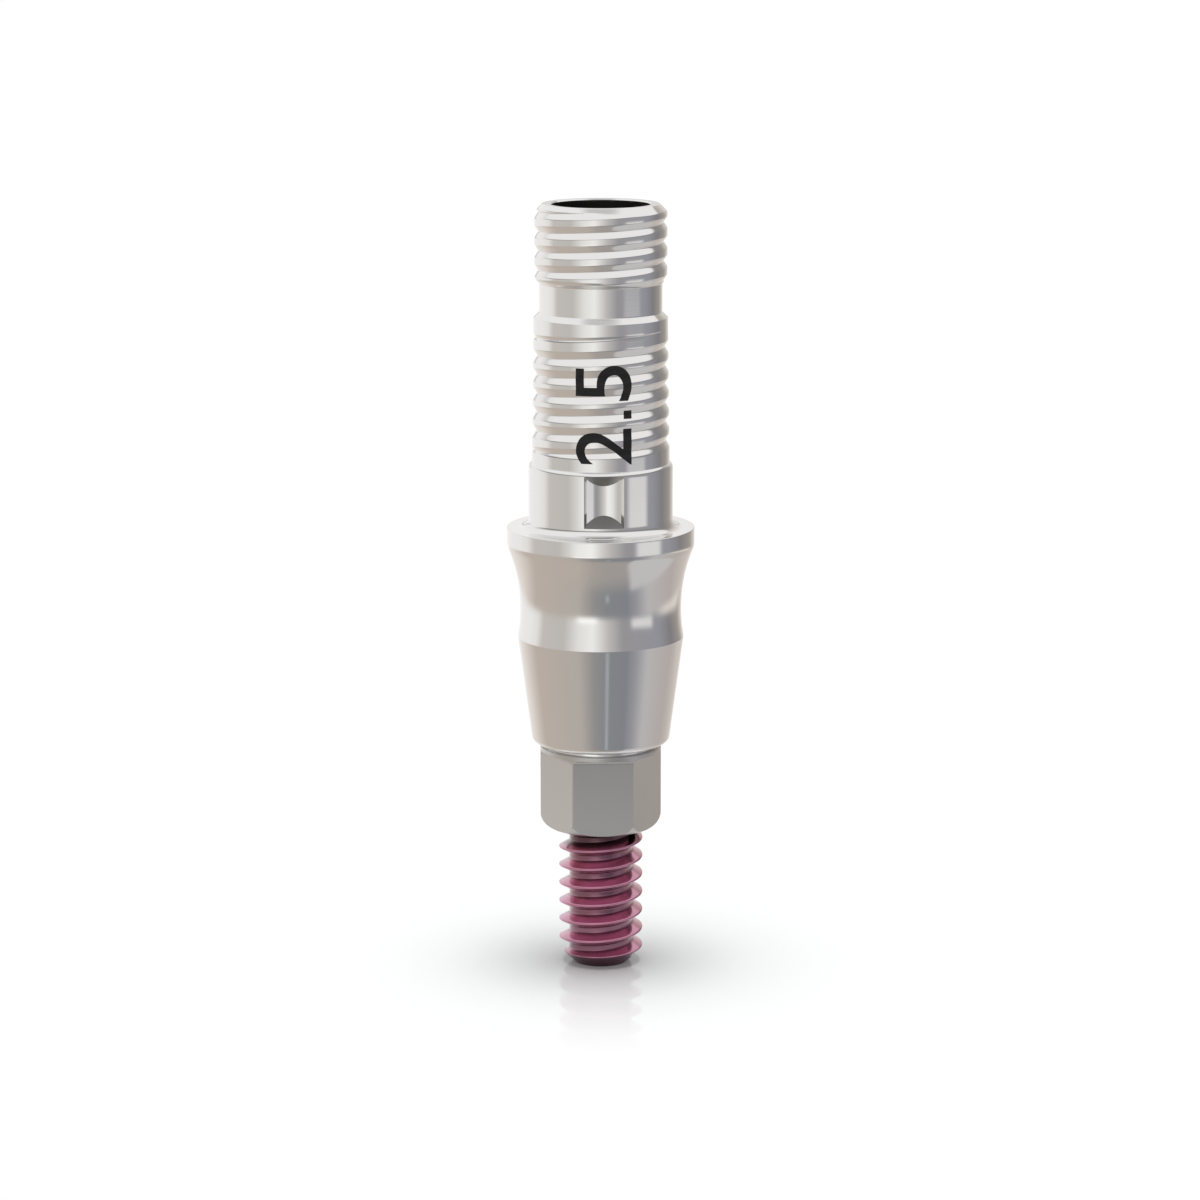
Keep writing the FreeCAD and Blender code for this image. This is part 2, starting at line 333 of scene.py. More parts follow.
def drawn_chain(name, points):
    """One vertex extruded from point to point."""
    leave_edit()
    bpy.ops.mesh.primitive_plane_add(size=MM, location=points[0])
    piece = bpy.context.object
    piece.name = piece.data.name = name
    bpy.ops.object.transform_apply(location=True, rotation=True, scale=True)
    bpy.ops.object.mode_set(mode="EDIT")
    bpy.ops.mesh.select_all(action="SELECT")
    bpy.ops.mesh.merge(type="CENTER")
    for before, after in zip(points, points[1:]):
        step = tuple(b - a for a, b in zip(before, after))
        bpy.ops.mesh.extrude_region_move(TRANSFORM_OT_translate={"value": step})
    bpy.ops.object.mode_set(mode="OBJECT")
    return piece


def turned(name, rows, columns):
    """Spin an outline about the axis; rows in a helical zone follow its helix.

    Each row is (radius, height, zone). The seam is left open until the rows have
    risen by one pitch, and is then welded, so each row meets the next turn.
    """
    piece = drawn_chain(name, [(row[0], 0, row[1]) for row in rows])
    count = len(rows)
    mark = piece.data.attributes.new("row", "INT", "POINT")
    for i in range(count):
        mark.data[i].value = i
    bpy.ops.object.mode_set(mode="EDIT")
    bpy.ops.mesh.select_all(action="SELECT")
    bpy.ops.mesh.spin(steps=columns, angle=TURN, use_auto_merge=False, center=(0, 0, 0), axis=(0, 0, 1))
    bpy.ops.object.mode_set(mode="OBJECT")
    mesh = piece.data
    mark = mesh.attributes["row"]
    if len(mesh.vertices) != count * (columns + 1):
        raise RuntimeError(name + ": the spin gave " + str(len(mesh.vertices)) + " vertices")
    for vertex in mesh.vertices:
        radius, height, zone = rows[mark.data[vertex.index].value]
        # The spin's own columns give the angle; the last one closes the turn
        column = vertex.index // count
        angle = TURN * column / columns
        if zone:
            height = min(max(height + zone.pitch * column / columns, zone.low), zone.high)
            radius = zone.radius(height, angle)
        vertex.co = (radius * math.cos(angle), radius * math.sin(angle), height)
    mesh.attributes.remove(mark)
    bpy.ops.object.mode_set(mode="EDIT")
    bpy.ops.mesh.select_all(action="SELECT")
    bpy.ops.mesh.remove_doubles(threshold=WELD)
    bpy.ops.mesh.dissolve_degenerate(threshold=WELD)
    bpy.ops.mesh.select_all(action="SELECT")
    bpy.ops.mesh.normals_make_consistent(inside=False)
    bpy.ops.object.mode_set(mode="OBJECT")
    return piece


def ring_tool(name, sides, start_angle, loops, closed):
    """Cutter made from one ring of vertices, extruded and scaled to each (radius, height)."""
    leave_edit()
    first = loops[0]
    bpy.ops.mesh.primitive_circle_add(vertices=sides, radius=first[0], location=(0, 0, first[1]))
    tool = bpy.context.object
    tool.name = tool.data.name = name
    bpy.ops.object.transform_apply(location=True, rotation=True, scale=True)
    bpy.ops.object.mode_set(mode="EDIT")
    bpy.ops.mesh.select_all(action="SELECT")
    if not closed:
        bpy.ops.mesh.edge_face_add()
    radius, height = first
    for next_radius, next_height in loops[1:]:
        bpy.ops.mesh.extrude_region_move(TRANSFORM_OT_translate={"value": (0, 0, next_height - height)})
        factor = next_radius / radius
        bpy.ops.transform.resize(value=(factor, factor, 1), center_override=(0, 0, next_height))
        radius, height = next_radius, next_height
    if closed:
        bpy.ops.mesh.select_all(action="SELECT")
        bpy.ops.mesh.remove_doubles(threshold=WELD)
    bpy.ops.mesh.select_all(action="SELECT")
    bpy.ops.mesh.normals_make_consistent(inside=False)
    bpy.ops.object.mode_set(mode="OBJECT")
    turn_to = Vector((math.cos(start_angle), math.sin(start_angle), 0))
    corner = tool.data.vertices[0].co.copy()
    corner.z = 0
    spin = math.atan2(turn_to.y, turn_to.x) - math.atan2(corner.y, corner.x)
    for vertex in tool.data.vertices:
        x, y = vertex.co.x, vertex.co.y
        vertex.co.x = x * math.cos(spin) - y * math.sin(spin)
        vertex.co.y = x * math.sin(spin) + y * math.cos(spin)
    return tool


def cut_with(piece, tool, operation="DIFFERENCE"):
    """Take the tool away from the piece, or keep only what both hold."""
    only(piece)
    modifier = piece.modifiers.new("Milling", "BOOLEAN")
    modifier.operation = operation
    modifier.solver = "EXACT"
    modifier.use_self = False
    modifier.double_threshold = 1e-9
    modifier.object = tool
    bpy.ops.object.modifier_apply(modifier=modifier.name)
    bpy.data.objects.remove(tool)


def smooth_zones(piece, zones, sharp_angle=12.0):
    """Smooth shading with sharp edges by angle, none of them inside the helical zones."""
    only(piece)
    bpy.ops.object.shade_smooth_by_angle(angle=math.radians(sharp_angle))
    bpy.ops.object.mode_set(mode="EDIT")
    bpy.ops.mesh.select_mode(type="EDGE")
    bpy.ops.mesh.select_all(action="DESELECT")
    grid = bmesh.from_edit_mesh(piece.data)
    for edge in grid.edges:
        heights = [vertex.co.z for vertex in edge.verts]
        outside = max(vertex.co.xy.length for vertex in edge.verts)
        for zone, inner in zones:
            if zone.low < min(heights) and max(heights) < zone.high and outside > inner:
                edge.select_set(True)
    bmesh.update_edit_mesh(piece.data)
    bpy.ops.mesh.mark_sharp(clear=True)
    bpy.ops.mesh.select_mode(type="VERT")
    bpy.ops.object.mode_set(mode="OBJECT")


def closed_check(piece, limit=200000):
    """Print the finished piece's open edges, triangles and volume; stop if it is inside out or too heavy."""
    grid = bmesh.new()
    grid.from_mesh(piece.data)
    open_edges = sum(1 for edge in grid.edges if len(edge.link_faces) != 2)
    triangles = sum(len(face.verts) - 2 for face in grid.faces)
    volume = grid.calc_volume(signed=True)
    grid.free()
    print(piece.name, "open edges", open_edges, "triangles", triangles, "mm3", round(volume * 1e9, 3))
    if volume <= 0:
        raise RuntimeError(piece.name + " is inside out")
    if triangles > limit:
        raise RuntimeError(piece.name + " has " + str(triangles) + " triangles")


# Materials


def node(tree, kind, place, **settings):
    made = tree.nodes.new(kind)
    made.location = place
    for key, value in settings.items():
        setattr(made, key, value)
    return made


def maths(tree, operation, place, first, second=None):
    made = node(tree, "ShaderNodeMath", place, operation=operation)
    for socket, value in zip(made.inputs, (first, second)):
        if value is None:
            continue
        if isinstance(value, (int, float)):
            socket.default_value = value
        else:
            tree.links.new(value, socket)
    return made.outputs[0]


def turning_lines_group():
    """Fine rings that a turning tool leaves about the axis, and a slow drift in polish."""
    name = "Turning lines"
    if name in bpy.data.node_groups:
        return bpy.data.node_groups[name]
    group = bpy.data.node_groups.new(name, "ShaderNodeTree")
    face = group.interface
    face.new_socket("Vector", in_out="INPUT", socket_type="NodeSocketVector")
    for label, default in (("Spacing", 0.00003), ("Roughness", 0.16), ("Variation", 0.05)):
        socket = face.new_socket(label, in_out="INPUT", socket_type="NodeSocketFloat")
        socket.default_value = default
    face.new_socket("Height", in_out="OUTPUT", socket_type="NodeSocketFloat")
    face.new_socket("Roughness", in_out="OUTPUT", socket_type="NodeSocketFloat")
    start = node(group, "NodeGroupInput", (-900, 0))
    end = node(group, "NodeGroupOutput", (700, 0))
    split = node(group, "ShaderNodeSeparateXYZ", (-700, 100))
    group.links.new(start.outputs["Vector"], split.inputs[0])
    squares = maths(
        group, "ADD", (-380, 180),
        maths(group, "MULTIPLY", (-540, 240), split.outputs[0], split.outputs[0]),
        maths(group, "MULTIPLY", (-540, 80), split.outputs[1], split.outputs[1]),
    )
    radius = maths(group, "SQRT", (-220, 180), squares)
    across = maths(group, "DIVIDE", (-60, 180), radius, start.outputs["Spacing"])
    along = maths(group, "DIVIDE", (-60, 20), split.outputs[2], start.outputs["Spacing"])
    place = node(group, "ShaderNodeCombineXYZ", (100, 120))
    group.links.new(across, place.inputs[0])
    group.links.new(along, place.inputs[2])
    lines = node(group, "ShaderNodeTexNoise", (260, 160))
    lines.inputs["Scale"].default_value = 1.0
    lines.inputs["Detail"].default_value = 2.0
    group.links.new(place.outputs[0], lines.inputs["Vector"])
    group.links.new(lines.outputs["Fac"], end.inputs["Height"])
    drift = node(group, "ShaderNodeTexNoise", (-300, -200))
    drift.inputs["Scale"].default_value = 900.0
    drift.inputs["Detail"].default_value = 3.0
    group.links.new(start.outputs["Vector"], drift.inputs["Vector"])
    centred = maths(group, "SUBTRACT", (-100, -200), drift.outputs["Fac"], 0.5)
    scaled = maths(group, "MULTIPLY", (60, -200), centred, start.outputs["Variation"])
    rough = maths(group, "ADD", (220, -200), scaled, start.outputs["Roughness"])
    group.links.new(rough, end.inputs["Roughness"])
    return group


def metal_material(name, base, polish, spacing, strength, variation):
    """Metal with turning lines; returns the material, its tree and its shader."""
    material = bpy.data.materials.new(name)
    material.use_nodes = True
    tree = material.node_tree
    shader = tree.nodes["Principled BSDF"]
    shader.inputs["Base Color"].default_value = (*base, 1.0)
    shader.inputs["Metallic"].default_value = 1.0
    lines = node(tree, "ShaderNodeGroup", (-520, 0))
    lines.node_tree = turning_lines_group()
    lines.inputs["Spacing"].default_value = spacing
    lines.inputs["Roughness"].default_value = polish
    lines.inputs["Variation"].default_value = variation
    place = node(tree, "ShaderNodeTexCoord", (-740, 0))
    tree.links.new(place.outputs["Object"], lines.inputs["Vector"])
    bump = node(tree, "ShaderNodeBump", (-260, -160))
    bump.inputs["Strength"].default_value = strength
    bump.inputs["Distance"].default_value = 0.000001
    tree.links.new(lines.outputs["Height"], bump.inputs["Height"])
    tree.links.new(bump.outputs["Normal"], shader.inputs["Normal"])
    tree.links.new(lines.outputs["Roughness"], shader.inputs["Roughness"])
    return material, tree, shader


# The pieces


def body_heights(size):
    """Heights along the axis that follow from the body's sizes."""
    cone_end = -size.cone_length
    relief_end = cone_end - size.relief_width
    flats_top = relief_end - size.hex_collar
    hex_end = flats_top - size.hex_length
    ring_top = size.collar_height + size.ring_height
    sleeve_top = ring_top + size.sleeve_length
    neck_top = sleeve_top + size.neck_length
    rim = neck_top + size.thread_length
    return cone_end, relief_end, flats_top, hex_end, ring_top, sleeve_top, neck_top, rim


def sleeve_zone(size, ring_top, sleeve_top):
    """The retention groove on the tapered sleeve, with its run-in above and run-out below."""
    base_radius = size.ring_diameter / 2 - size.sleeve_step
    taper = math.tan(size.sleeve_taper)

    def base(height, cut):
        return base_radius - (height - ring_top) * taper - cut

    def fade(turn):
        if turn < -0.055:
            return max(0.0, 1 + (turn + 0.055) / 0.75)
        if turn > 4.945:
            return max(0.0, 1 - (turn - 4.945))
        return 1.0

    return HelicalZone(
        low=ring_top + 0.05 * MM, high=sleeve_top - size.sleeve_chamfer - 0.01 * MM,
        pitch=size.groove_pitch, root=ring_top + size.groove_start, depth=size.groove_depth,
        angle=size.groove_angle, flat=0.0, base=base, fade=fade, edge=0.014 * MM,
    )


def top_thread_zone(size, neck_top, rim):
    """The threaded top, whose groove runs out through a chamfer at both ends."""
    crest = size.thread_diameter / 2
    neck = size.neck_diameter / 2
    root = crest - size.thread_depth
    back_end = neck_top + size.thread_back
    lead_start = rim - size.thread_lead_in

    def base(height, cut):
        back = neck + (height - neck_top) * (crest - neck) / size.thread_back
        lead = crest - (height - lead_start)
        threaded = crest - cut
        if height < back_end + 0.05 * MM:
            threaded = soft_min(threaded, back, 0.012 * MM)
        if height > lead_start - 0.05 * MM:
            threaded = soft_min(threaded, lead, 0.012 * MM)
        return threaded

    return HelicalZone(
        low=neck_top + 0.012 * MM, high=lead_start + crest - root + 0.02 * MM,
        pitch=size.thread_pitch, root=neck_top - size.thread_pitch + size.thread_phase,
        depth=size.thread_depth, angle=size.thread_angle, flat=0.0, base=base,
        fade=lambda turn: 1.0, edge=0.014 * MM,
    )


def groove_rows(zone, half_width):
    """Row offsets that are close together at the groove's root and edges."""
    shares = (0.0, 0.035, 0.07, 0.12, 0.3, 0.5, 0.7, 0.86, 0.93, 0.97, 1.0, 1.03, 1.07, 1.14)
    offsets = [half_width * s for s in shares if half_width * s < zone.pitch / 2 - 0.004 * MM]
    return zone.rows(mirrored(offsets, zone.pitch))


def body_rows(size):
    """The body's closed outline, from the screw hole's mouth round the outside to the rim and back."""
    cone_end, relief_end, flats_top, hex_end, ring_top, sleeve_top, neck_top, rim = body_heights(size)
    corner = size.hex_across_flats / 2 / math.cos(math.radians(30)) - 0.008 * MM
    relief = corner - 0.09 * MM
    cone_top = size.cone_top_diameter / 2
    slope = math.tan(size.cone_half_angle)
    corner_z = cone_end + size.cone_corner
    corner_r = cone_top + corner_z * slope - size.cone_corner / math.cos(size.cone_half_angle)
    cone_angle = -math.degrees(size.cone_half_angle)

    # Waisted collar: one arc tangent to the flange's blend
    waist = cone_top - size.waist_depth
    waist_arc = (size.waist_depth ** 2 + size.waist_height ** 2) / (2 * size.waist_depth)
    waist_centre = (waist + waist_arc, size.waist_height)
    flange = cone_top + size.flange_overhang
    blend_r = flange - size.flange_blend
    reach = waist_arc + size.flange_blend
    blend_z = waist_centre[1] + math.sqrt(reach ** 2 - (waist_centre[0] - blend_r) ** 2)
    touch = math.degrees(math.atan2(blend_z - waist_centre[1], blend_r - waist_centre[0]))
    start = math.degrees(math.atan2(-size.waist_height, cone_top - waist_centre[0])) % 360

    ring = size.ring_diameter / 2
    sleeve = ring - size.sleeve_step
    edge_r = ring - size.ring_edge
    edge_rise = math.sqrt(size.ring_edge ** 2 - (sleeve - edge_r) ** 2)
    edge_angle = math.degrees(math.atan2(edge_rise, sleeve - edge_r))
    fillet = (ring + size.seat_fillet, size.collar_height + size.seat_fillet)
    hole = size.screw_hole / 2
    bore = size.channel_diameter / 2
    crest = size.thread_diameter / 2
    sleeve_side = sleeve_zone(size, ring_top, sleeve_top)
    thread = top_thread_zone(size, neck_top, rim)

    lower = [(hole, hex_end, 0)]
    nose = (corner - size.hex_nose, hex_end + size.hex_nose)
    lower += [(r, z, 0) for r, z in arc_points(nose, size.hex_nose, -90, 0)]
    lower += [(corner, relief_end, 0.012 * MM), (relief, relief_end, 0), (relief, cone_end, 0)]
    lower += [(r, z, 0) for r, z in arc_points((corner_r, corner_z), size.cone_corner, -90, cone_angle)]
    lower += [(cone_top, 0, 0.012 * MM)]
    lower += [(r, z, 0) for r, z in arc_points(waist_centre, waist_arc, start, touch, 1.0)[1:]]
    lower += [(r, z, 0) for r, z in arc_points((blend_r, blend_z), size.flange_blend, touch - 180, 0)[1:]]
    lower += [(flange, size.collar_height, 0.02 * MM)]
    lower += [(r, z, 0) for r, z in arc_points(fillet, size.seat_fillet, -90, -180)]
    lower += [(r, z, 0) for r, z in arc_points((edge_r, ring_top - edge_rise), size.ring_edge, 0, edge_angle)]
    lower += [(sleeve_side.base(sleeve_side.low, 0), sleeve_side.low, 0)]

    chamfer_z = sleeve_top - size.sleeve_chamfer
    neck = size.neck_diameter / 2
    middle = [
        (sleeve_side.base(sleeve_side.high, 0), sleeve_side.high, 0),
        (sleeve_side.base(chamfer_z, 0), chamfer_z, 0.012 * MM),
        (neck, sleeve_top, 0.01 * MM),
        (neck, neck_top, 0),
        (thread.radius(thread.low, 0), thread.low, 0),
    ]
    upper = [
        (thread.radius(thread.high, 0), thread.high, 0),
        (crest - size.thread_lead_in, rim, 0.015 * MM),
        (bore + 0.03 * MM, rim, 0),
        (bore, rim - 0.03 * MM, 0),
        (bore, size.screw_seat, 0),
        (hole, size.screw_seat, 0),
        (hole, hex_end, 0),
    ]
    sleeve_half = size.groove_depth * math.tan(size.groove_angle / 2)
    thread_half = size.thread_depth * math.tan(size.thread_angle / 2)
    rows = [(r, z, None) for r, z in softened(lower)]
    rows += [(sleeve, z, sleeve_side) for z in groove_rows(sleeve_side, sleeve_half)]
    rows += [(r, z, None) for r, z in softened(middle)]
    rows += [(crest, z, thread) for z in groove_rows(thread, thread_half)]
    rows += [(r, z, None) for r, z in softened(upper)]
    return rows, (sleeve_side, thread)


def hex_tool(size, flats_top, hex_end):
    """Ring with a hexagonal hole: what the mill takes off, with its run-out above the flats."""
    to_corner = 1 / math.cos(math.radians(30))
    flat = size.hex_across_flats / 2
    low = hex_end - 0.1 * MM
    bend = flats_top - size.hex_run_out
    loops = [(flat * to_corner, low), (flat * to_corner, bend)]
    for r, z in arc_points((flat + size.hex_run_out, bend), size.hex_run_out, 180, 90, 10)[1:]:
        loops.append((r * to_corner, z))
    outer = size.cone_top_diameter / 2 * to_corner
    loops += [(outer, flats_top), (outer, low), (flat * to_corner, low)]
    return ring_tool("hex_mill", 6, 0.0, loops, True)


def slot_tool(size, ring_top):
    """What the slot takes away: an open channel whose two ends are cones about the main axis."""
    ring = size.ring_diameter / 2
    floor = ring - size.slot_depth
    half = size.slot_floor_width / 2
    hollow = size.slot_floor_hollow
    arc = (half ** 2 + hollow ** 2) / (2 * hollow)
    spread = math.degrees(math.asin(half / arc))
    low = size.collar_height + size.seat_fillet
    high = ring_top - size.slot_drop
    start = low - 0.5 * MM
    outer = ring + 0.25 * MM
    side = half + (outer - floor - hollow) * math.tan(size.slot_side_angle)
    section = [(side, -outer)]
    section += arc_points((0, -floor - arc), arc, 90 - spread, 90 + spread, 3.0)
    section += [(-side, -outer)]
    channel = drawn_chain("slot_mill", [(x, y, start) for x, y in section])
    bpy.ops.object.mode_set(mode="EDIT")
    bpy.ops.mesh.select_all(action="SELECT")
    bpy.ops.mesh.edge_face_add()
    bpy.ops.mesh.extrude_region_move(TRANSFORM_OT_translate={"value": (0, 0, high + 0.5 * MM - start)})
    bpy.ops.mesh.select_all(action="SELECT")
    bpy.ops.mesh.normals_make_consistent(inside=False)
    bpy.ops.object.mode_set(mode="OBJECT")
    reach = 0.28 * MM
    rise = reach / math.tan(size.slot_end_angle)
    loops = [(ring - reach, low + rise), (ring + reach, low - rise)]
    loops += [(ring + reach, high + rise), (ring - reach, high - rise), (ring - reach, low + rise)]
    cut_with(channel, ring_tool("slot_ends", 192, 0.0, loops, True), "INTERSECT")
    return channel


class ABUTMENT_OT_body(bpy.types.Operator):
    """Turn the abutment's body, cut its helical grooves and mill its hex and slot"""

    bl_idname = "abutment.body"
    bl_label = "Turned body"

    def execute(self, context):
        size = context.scene.abutment_body
        finish = context.scene.abutment_finish
        heights = body_heights(size)
        rows, zones = body_rows(size)
        body = turned("body_finish", rows, 192)
        cut_with(body, hex_tool(size, heights[2], heights[3]))
        cut_with(body, slot_tool(size, heights[4]))
        inner = size.channel_diameter / 2 + 0.1 * MM
        smooth_zones(body, [(zone, inner) for zone in zones])
        closed_check(body)
        finishes = (
            ("Polished titanium", finish.titanium, finish.titanium_polish, 0.00003, 0.22, 0.07),
            ("Milled titanium", finish.flats, finish.flats_polish, 0.00006, 0.18, 0.08),
            # Painted shade: the slot end's dark colour; its roughness is the coarser milling
            ("Milled slot end, painted shade", finish.slot_end_painted_shade, 0.42, 0.00005, 0.2, 0.1),
            # Painted shade: the bore's near-black colour
            ("Bore, painted shade", finish.bored, 0.45, 0.00008, 0.2, 0.1),
        )
        body.data.materials.clear()
        for settings in finishes:
            body.data.materials.append(metal_material(*settings)[0])
        hex_top = heights[1]
        hole = size.screw_hole / 2
        bore = size.channel_diameter / 2
        slot_low = size.collar_height + 0.02 * MM
        ring_inside = size.ring_diameter / 2 - 0.004 * MM
        for face in body.data.polygons:
            place = face.center
            out = place.xy.length
            inward = face.normal.xy.dot(place.xy) < 0
            # Inside the channel and the hole: painted shade
            if out < bore + 0.01 * MM and inward and place.z < heights[7] - 0.05 * MM:
                face.material_index = 3
            elif place.z < hex_top and out > hole + 0.05 * MM:
                face.material_index = 1
            elif slot_low < place.z < heights[4] and place.y < 0 and abs(place.x) < 0.5 * MM:
                below_middle = place.z < slot_low + size.ring_height / 2
                # The upward-facing lower end of the slot takes the painted shade
                if out < ring_inside and face.normal.z > 0.3 and below_middle:
                    face.material_index = 2
                elif out < ring_inside and face.normal.z < -0.3:
                    face.material_index = 1
        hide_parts("abutment_body")
        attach(body, "abutment")
        return {"FINISHED"}


class ABUTMENT_OT_screw(bpy.types.Operator):
    """Turn the retaining screw with its thread, and broach the driver socket"""

    bl_idname = "abutment.screw"
    bl_label = "Retaining screw"

    def execute(self, context):
        body = context.scene.abutment_body
        size = context.scene.abutment_screw
        finish = context.scene.abutment_finish
        hex_end = body_heights(body)[3]
        end = hex_end - size.reach
        top = hex_end + size.hidden
        crest = size.thread_diameter / 2
        root = crest - size.thread_depth
        tip = size.tip_diameter / 2
        shank = size.shank_diameter / 2
        head = size.head_diameter / 2
        head_top = body.screw_seat + size.head_height

        def base(height, cut):
            nose = tip + height - end
            shoulder = crest - (height - top)
            threaded = crest - cut
            if height < end + crest - tip + 0.05 * MM:
                threaded = soft_min(threaded, nose, 0.015 * MM)
            if height > top - 0.05 * MM:
                threaded = soft_min(threaded, shoulder, 0.015 * MM)
            return threaded

        thread = HelicalZone(
            low=end + root - tip - 0.015 * MM, high=top + crest - root + 0.015 * MM,
            pitch=size.thread_pitch, root=end - size.thread_pitch + size.thread_phase,
            depth=size.thread_depth, angle=size.thread_angle, flat=size.thread_root,
            base=base, fade=lambda turn: 1.0, edge=0.012 * MM,
        )
        root_half = size.thread_root / 2
        crest_half = root_half + size.thread_depth * math.tan(size.thread_angle / 2)
        flank = [root_half + (crest_half - root_half) * i / 12 for i in range(13)]
        offsets = [0.0, root_half * 0.5, root_half * 0.85] + flank
        heights = thread.rows(mirrored(offsets, size.thread_pitch))
        lower = [
            (0, end, 0),
            (tip, end, 0.015 * MM),
            (thread.radius(thread.low, 0), thread.low, 0),
        ]
        upper = [
            (thread.radius(thread.high, 0), thread.high, 0),
            (shank, top + crest - shank, 0),
            (shank, body.screw_seat, 0),
            (head, body.screw_seat, 0.01 * MM),
            (head, head_top - size.head_chamfer, 0),
            (head - size.head_chamfer, head_top, 0),
            (0, head_top, 0),
        ]
        rows = [(r, z, None) for r, z in softened(lower)]
        rows += [(crest, z, thread) for z in heights]
        rows += [(r, z, None) for r, z in softened(upper)]
        screw = turned("screw_finish", rows, 144)
        to_corner = 1 / math.cos(math.radians(30))
        floor = head_top - size.socket_depth
        socket = size.socket_across_flats / 2 * to_corner
        broach = ring_tool(
            "socket_broach", 6, 0.0,
            [(socket * 0.02, floor - size.socket_cone), (socket * 0.85, floor), (socket, floor),
             (socket, head_top + 0.1 * MM)],
            False,
        )
        cut_with(screw, broach)
        smooth_zones(screw, [(thread, root * 0.9)])
        closed_check(screw)
        rose, _, shader = metal_material("Anodised rose", finish.rose, finish.rose_polish, 0.00003, 0.1, 0.06)
        shader.inputs["Coat Weight"].default_value = 0.8
        shader.inputs["Coat Roughness"].default_value = 0.12
        # Painted shade on the tip, in the thread's roots and under the hex
        film_with_painted_shade(rose, shader, finish.rose, end, hex_end)
        screw.data.materials.clear()
        screw.data.materials.append(rose)
        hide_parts("abutment_screw")
        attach(screw, "screw")
        return {"FINISHED"}


def film_with_painted_shade(material, shader, tint, end, hex_end):
    """Painted shade: the anodised colour is darkened on the tip, where it stands in its own shadow, and where the
    radius is small: in every root of the thread and deep in the first turn under the hex.
    """
    tree = material.node_tree
    place = node(tree, "ShaderNodeTexCoord", (-1500, 500))
    split = node(tree, "ShaderNodeSeparateXYZ", (-1300, 500))
    tree.links.new(place.outputs["Object"], split.inputs[0])
    squares = maths(
        tree, "ADD", (-940, 700),
        maths(tree, "MULTIPLY", (-1120, 760), split.outputs[0], split.outputs[0]),
        maths(tree, "MULTIPLY", (-1120, 600), split.outputs[1], split.outputs[1]),
    )
    radius = maths(tree, "SQRT", (-780, 700), squares)
    masks = []
    # Masks of painted shade: the tip, the turn under the hex, the depth of that turn, and every root
    for k, (value, low, high, most) in enumerate((
        (split.outputs[2], end + 0.42 * MM, end + 0.16 * MM, 0.7),
        (split.outputs[2], hex_end - 0.60 * MM, hex_end - 0.36 * MM, 1.0),
        (radius, 0.96 * MM, 0.82 * MM, 0.9),
        (radius, 0.82 * MM, 0.765 * MM, 0.55),
    )):
        edge = node(tree, "ShaderNodeMapRange", (-600, 900 - 280 * k), interpolation_type="SMOOTHSTEP")
        edge.inputs["From Min"].default_value = low
        edge.inputs["From Max"].default_value = high
        edge.inputs["To Max"].default_value = most
        tree.links.new(value, edge.inputs["Value"])
        masks.append(edge.outputs["Result"])
    # Painted shade deep in the first turn under the hex and in every root
    deep = maths(tree, "MULTIPLY", (-400, 500), masks[1], masks[2])
    deep = maths(tree, "MAXIMUM", (-320, 300), deep, masks[3])
    mask = maths(tree, "MAXIMUM", (-240, 600), masks[0], deep)
    # The near-black colour laid over the rose is painted shade
    shade = laid_over(tree, (-60, 500), mask, (tint[0], tint[1], tint[2]), (0.045, 0.016, 0.022))
    tree.links.new(shade, shader.inputs["Base Color"])


class ABUTMENT_OT_mark(bpy.types.Operator):
    """Lay the black size mark on the grooved sleeve, reading upwards"""

    bl_idname = "abutment.mark"
    bl_label = "Size mark"

    def execute(self, context):
        size = context.scene.abutment_body
        mark = context.scene.abutment_mark
        finish = context.scene.abutment_finish
        front = -size.ring_diameter
        low = mark.bottom
        glyphs = []
        for character in mark.text:
            wide = mark.point if character == "." else mark.digit
            tall = mark.point if character == "." else mark.height
            glyph = flat_glyph(character, mark.boldness)
            spots = [vertex.co.copy() for vertex in glyph.data.vertices]
            left, right = min(spot.x for spot in spots), max(spot.x for spot in spots)
            foot, top = min(spot.y for spot in spots), max(spot.y for spot in spots)
            # The characters run up the part, and their tops point to the left
            for vertex, spot in zip(glyph.data.vertices, spots):
                across = mark.height / 2 - tall * (spot.y - foot) / (top - foot)
                vertex.co = (across, front, low + wide * (spot.x - left) / (right - left))
            low += wide + mark.gap
            glyphs.append(glyph)
        only(glyphs[0])
        for glyph in glyphs[1:]:
            glyph.select_set(True)
        bpy.ops.object.join()
        words = bpy.context.object
        words.name = words.data.name = "size_mark"
        bpy.ops.object.mode_set(mode="EDIT")
        bpy.ops.mesh.select_all(action="SELECT")
        bpy.ops.mesh.remove_doubles(threshold=WELD)
        for count, start, span, along in (
            (30, -mark.height / 2, mark.height, (1, 0, 0)),
            (150, mark.bottom, low - mark.bottom, (0, 0, 1)),
        ):
            for i in range(1, count):
                cut = Vector(along) * (start + span * i / count)
                bpy.ops.mesh.select_all(action="SELECT")
                bpy.ops.mesh.bisect(plane_co=cut, plane_no=along, threshold=1e-8)
        bpy.ops.mesh.select_all(action="SELECT")
        bpy.ops.mesh.normals_make_consistent(inside=False)
        bpy.ops.object.mode_set(mode="OBJECT")
        if sum(face.normal.y * face.area for face in words.data.polygons) > 0:
            words.data.flip_normals()
        wrap = words.modifiers.new("Wrap", "SHRINKWRAP")
        wrap.target = bpy.data.objects["body_finish"]
        wrap.wrap_method = "PROJECT"
        wrap.use_project_y = True
        wrap.use_positive_direction = True
        wrap.use_negative_direction = False
        bpy.ops.object.modifier_apply(modifier=wrap.name)
        for vertex in words.data.vertices:
            vertex.co.y -= 0.005 * MM
        film = words.modifiers.new("Film", "SOLIDIFY")
        film.thickness = 0.004 * MM
        film.offset = 1.0
        bpy.ops.object.modifier_apply(modifier=film.name)
        words.data.materials.clear()
        words.data.materials.append(mark_material(finish.mark))
        if min(vertex.co.y for vertex in words.data.vertices) < front / 2 - 0.05 * MM:
            raise RuntimeError("The size mark has missed the sleeve")
        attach(words, "abutment")
        return {"FINISHED"}


